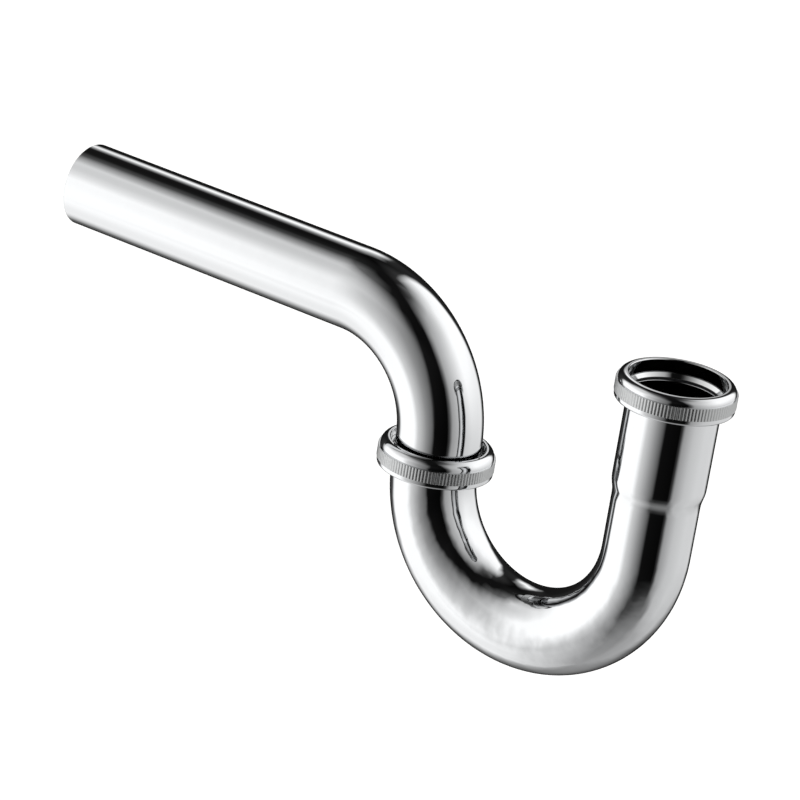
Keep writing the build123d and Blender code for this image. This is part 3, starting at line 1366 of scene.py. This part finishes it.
# Two large soft boxes stand left and right of a black gap at the camera, with a black wall behind
# the object that has one narrow bright slot, and a white table below that fades towards the camera.
SURROUND = (
    LightRing(-90, ((0, "#969696"),)),
    LightRing(
        -62,
        (
            (-170, "#707070"), (-142, "#A2A2A2"), (-118, "#EAEAEA"), (-88, "#E2E2E2"), (-62, "#C4C4C4"),
            (-30, "#9C9C9C"), (-8, "#848484"), (28, "#828282"), (60, "#9C9C9C"), (112, "#A2A2A2"),
            (146, "#7A7A7A"),
        ),
    ),
    LightRing(
        -48,
        (
            (-172, "#484848"), (-155, "#606060"), (-128, "#E6E6E6"), (-76, "#F0F0F0"), (-60, "#CCCCCC"),
            (-30, "#929292"), (-16, "#666666"), (20, "#6C6C6C"), (38, "#747474"), (52, "#B0B0B0"),
            (85, "#BEBEBE"), (116, "#B4B4B4"), (140, "#585858"), (160, "#505050"),
        ),
    ),
    LightRing(
        -38,
        (
            (-170, "#202020"), (-155, "#4C4C4C"), (-135, "#C8C8C8"), (-122, "#FAFAFA"), (-76, "#FAFAFA"),
            (-60, "#C8C8C8"), (-30, "#828282"), (-18, "#404040"), (-6, "#303030"), (26, "#3C3C3C"),
            (38, "#8C8C8C"), (50, "#B4B4B4"), (85, "#C6C6C6"), (120, "#BABABA"), (142, "#6A6A6A"),
            (156, "#202020"),
        ),
    ),
    LightRing(
        -28,
        (
            (-170, "#141414"), (-156, "#181818"), (-136, "#505050"), (-125, "#F0F0F0"), (-118, "#FEFEFE"),
            (-68, "#FCFCFC"), (-56, "#C8C8C8"), (-30, "#868686"), (-19, "#585858"), (-12, "#0E0E0E"),
            (23, "#080808"), (28, "#303030"), (35, "#949494"), (60, "#BEBEBE"), (95, "#C8C8C8"),
            (136, "#BEBEBE"), (150, "#202020"), (168, "#121212"),
        ),
    ),
    LightRing(
        -12,
        (
            (-170, "#121212"), (-156, "#161616"), (-134, "#303030"), (-124, "#E8E8E8"), (-116, "#FFFFFF"),
            (-66, "#FEFEFE"), (-56, "#CCCCCC"), (-32, "#8A8A8A"), (-17, "#626262"), (-11, "#0A0A0A"),
            (23, "#040404"), (29, "#3C3C3C"), (36, "#949494"), (66, "#C0C0C0"), (95, "#D4D4D4"),
            (138, "#DADADA"), (149, "#202020"), (168, "#121212"),
        ),
    ),
    LightRing(
        16,
        (
            (-170, "#141414"), (-156, "#161616"), (-134, "#303030"), (-124, "#E8E8E8"), (-116, "#FEFEFE"),
            (-68, "#FAFAFA"), (-54, "#C0C0C0"), (-34, "#8C8C8C"), (-15, "#626262"), (-8, "#121212"),
            (22, "#060606"), (28, "#5C5C5C"), (35, "#9C9C9C"), (60, "#CACACA"), (90, "#F8F8F8"),
            (144, "#FCFCFC"), (151, "#202020"), (168, "#141414"),
        ),
    ),
    LightRing(
        27,
        (
            (-174, "#FFFFFF"), (-165, "#262626"), (-150, "#1A1A1A"), (-130, "#303030"), (-120, "#D0D0D0"),
            (-104, "#E8E8E8"), (-66, "#DEDEDE"), (-36, "#989898"), (-16, "#585858"), (-8, "#141414"),
            (19, "#0C0C0C"), (26, "#606060"), (34, "#A0A0A0"), (65, "#D4D4D4"), (92, "#FCFCFC"),
            (148, "#FCFCFC"), (155, "#202020"), (170, "#262626"), (176, "#FFFFFF"),
        ),
    ),
    LightRing(
        38,
        (
            (-174, "#9C9C9C"), (-165, "#1A1A1A"), (-150, "#161616"), (-126, "#303030"), (-116, "#B4B4B4"),
            (-100, "#D6D6D6"), (-62, "#C4C4C4"), (-35, "#888888"), (-16, "#343434"), (-9, "#0C0C0C"),
            (17, "#0C0C0C"), (25, "#6C6C6C"), (34, "#A2A2A2"), (70, "#D8D8D8"), (98, "#FCFCFC"),
            (150, "#FCFCFC"), (157, "#202020"), (172, "#262626"), (178, "#9C9C9C"),
        ),
    ),
    LightRing(
        50,
        (
            (-168, "#060606"), (-145, "#181818"), (-128, "#585858"), (-112, "#B0B0B0"), (-92, "#D0D0D0"),
            (-62, "#A4A4A4"), (-38, "#707070"), (-19, "#101010"), (15, "#0A0A0A"), (25, "#787878"),
            (38, "#A4A4A4"), (80, "#D0D0D0"), (112, "#F6F6F6"), (150, "#F2F2F2"), (159, "#202020"),
            (175, "#101010"),
        ),
    ),
    LightRing(
        63,
        (
            (-170, "#080808"), (-130, "#202020"), (-95, "#646464"), (-60, "#545454"), (-30, "#141414"),
            (8, "#0C0C0C"), (28, "#6C6C6C"), (50, "#A0A0A0"), (100, "#CECECE"), (148, "#C0C0C0"),
            (160, "#303030"),
        ),
    ),
    LightRing(
        78,
        (
            (-160, "#101010"), (0, "#101010"), (40, "#343434"), (110, "#606060"), (140, "#303030"),
        ),
    ),
    LightRing(90, ((0, "#101010"),)),
)


@dataclass
class Studio:
    """The floor, the surround and the camera.

    Attributes:
        azimuth: Bearing of the camera, 0 looking along +Y and turning towards -X, in degrees.
        elevation: Height of the camera over the horizon, in degrees.
        roll: Tilt of the camera about its own line of sight, in degrees.
        distance: From the camera to the point that it looks at, in metres.
        aim: The point that it looks at, in metres.
        lens: Focal length in millimetres.
        sensor: Width of the sensor in millimetres.
        clip: Nearest and farthest distance that the camera sees, in metres.
        plate_reflectance: Share of light that chromium returns, which sets the surround's strength.
        floor_drop: From the object's lowest point to the floor, in metres.
        floor_radius: Radius of the floor, in metres.
        floor_sides: Straight sides that the floor's rim is made of.
    """

    azimuth: float = 32.0
    elevation: float = 21.29
    roll: float = -9.10
    distance: float = 1.5012
    aim: tuple[float, float, float] = (-0.11108, -0.00205, -0.03958)
    lens: float = 183.59
    sensor: float = 36.0
    clip: tuple[float, float] = (0.1, 50.0)
    plate_reflectance: float = 0.56
    floor_drop: float = 0.05
    floor_radius: float = 9.0
    floor_sides: int = 96

    def build_camera(self) -> None:
        """Build the camera at the object's classic catalogue angle."""
        bearing, height, roll = (math.radians(a) for a in (self.azimuth, self.elevation, self.roll))
        level = math.cos(height)
        back = Vector((math.sin(bearing) * level, -math.cos(bearing) * level, math.sin(height)))
        level_right = (-back).cross(Vector((0, 0, 1))).normalized()
        level_up = level_right.cross(-back)
        right = math.cos(roll) * level_right - math.sin(roll) * level_up
        up = math.sin(roll) * level_right + math.cos(roll) * level_up
        turn = Matrix((right, up, back)).transposed().to_4x4()
        data = bpy.data.cameras.new("catalogue_camera")
        data.lens = self.lens
        data.sensor_width = self.sensor
        data.clip_start, data.clip_end = self.clip
        camera = bpy.data.objects.new("catalogue_camera", data)
        bpy.context.scene.collection.objects.link(camera)
        camera.matrix_world = Matrix.Translation(Vector(self.aim) + back * self.distance) @ turn
        bpy.context.scene.camera = camera
        log.info("camera at %s", tuple(round(v, 3) for v in camera.location))

    def build_floor(self) -> None:
        """Build the floor as a wide disc that the mirror-bright metal doesn't reflect."""
        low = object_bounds()[0].z - self.floor_drop
        angles = [math.tau * k / self.floor_sides for k in range(self.floor_sides)]
        rim = [(self.floor_radius * math.cos(a), self.floor_radius * math.sin(a), low) for a in angles]
        mesh = bpy.data.meshes.new("floor")
        mesh.from_pydata(rim, [], [tuple(range(self.floor_sides))])
        floor = new_piece("floor", mesh)
        mesh.materials.append(LitFloor().material())
        floor.visible_glossy = False
        floor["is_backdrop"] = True

    def build_surround(self) -> None:
        """Build the surround as the world's light, with a plain white backdrop for the camera."""
        world = bpy.data.worlds.new("studio")
        world.use_nodes = True
        bpy.context.scene.world = world
        world.node_tree.nodes.clear()
        add = partial(add_node, world.node_tree)
        direction = add("ShaderNodeTexCoord").outputs["Generated"]
        turn = {"Vector": direction, "Angle": -math.radians(self.azimuth)}
        turned = add("ShaderNodeVectorRotate", turn, rotation_type="Z_AXIS")
        parts = add("ShaderNodeSeparateXYZ", {0: turned}).outputs
        ahead = add("ShaderNodeMath", {0: parts["Y"], 1: -1.0}, operation="MULTIPLY")
        bearing = add("ShaderNodeMath", {0: parts["X"], 1: ahead}, operation="ARCTAN2")
        share = add("ShaderNodeMapRange", {"Value": bearing, "From Min": -math.pi, "From Max": math.pi})
        height = add("ShaderNodeMath", {0: parts["Z"]}, operation="ARCSINE")
        level = SURROUND[0].ramp(add, share)
        for below, ring in zip(SURROUND, SURROUND[1:]):
            low, high = math.radians(below.elevation), math.radians(ring.elevation)
            climb = add("ShaderNodeMapRange", {"Value": height, "From Min": low, "From Max": high})
            blend = {"Factor": climb, "A": level, "B": ring.ramp(add, share)}
            level = add("ShaderNodeMix", blend, data_type="RGBA")
        lamps = add("ShaderNodeBackground", {"Color": level, "Strength": 1 / self.plate_reflectance})
        backdrop = add("ShaderNodeBackground", {"Color": linear("#FFFFFF"), "Strength": 1.0})
        seen = add("ShaderNodeLightPath").outputs["Is Camera Ray"]
        both = add("ShaderNodeMixShader", {0: seen, 1: lamps, 2: backdrop})
        add("ShaderNodeOutputWorld", {"Surface": both})

    def build(self) -> None:
        """Build the camera, the floor and the surround."""
        self.build_camera()
        self.build_floor()
        self.build_surround()
        bpy.context.scene.view_settings.view_transform = "Standard"


def main() -> None:
    """Build the trap piece by piece, then the studio."""
    logging.basicConfig(level=logging.INFO, format="%(name)s: %(message)s")
    workshop = Workshop(Finishes.make(), knurl_tree(), thread_tree())
    TrapBody().build(workshop)
    WallArm().build(workshop)
    inlet = SlipJoint(
        "inlet_nut",
        RingPiece("inlet_friction_ring", 16.45, 17.4, 0.08),
        Body.INLET_NUT,
        Body.INLET_RING,
        roof=5.0,
        seed=3.0,
    )
    outlet = SlipJoint(
        "outlet_nut",
        RingPiece("outlet_friction_ring", 16.6, 16.6, 0.12),
        Body.OUTLET_NUT,
        Body.OUTLET_RING,
        roof=2.8,
        seed=8.0,
    )
    for joint in (inlet, outlet):
        joint.build(workshop)
    Studio().build()


if __name__ == "__main__":
    main()
